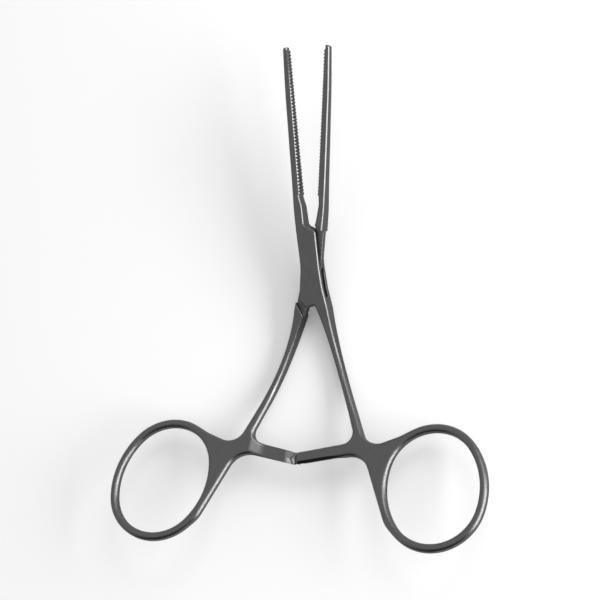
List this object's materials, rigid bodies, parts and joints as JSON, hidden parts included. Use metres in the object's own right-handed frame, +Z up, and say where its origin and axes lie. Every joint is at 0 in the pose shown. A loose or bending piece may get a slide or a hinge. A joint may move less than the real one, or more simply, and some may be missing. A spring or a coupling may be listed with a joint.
{
  "type": "vascular clamp",
  "caption": "Slim scissor-style surgical clamp with long toothed jaws, a box joint, bent shanks, a ratchet and two finger rings.",
  "frame": {"origin": "centre of the clamp's bounding box on the surface that it lies on", "axes": "+X to the right seen from the front, +Y towards the jaw tips, +Z up; the clamp lies on the curved backs of its shanks with its front face up"},
  "size_m": [0.111, 0.1406, 0.021],
  "materials": {
    "steel": "satin",
    "pin_steel": "satin"
  },
  "bodies": {
    "box_body": {"box_half": "steel", "lock_pin": "pin_steel"},
    "male_body": {"male_half": "steel"}
  },
  "joints": [
    {"name": "box_hinge", "type": "hinge", "parent": "box_body", "child": "male_body", "pos_m": [0, 0.00901, 0.00605], "axis": [0, 0.2206, -0.9754], "range_deg": [-10.3, 34.7]}
  ]
}
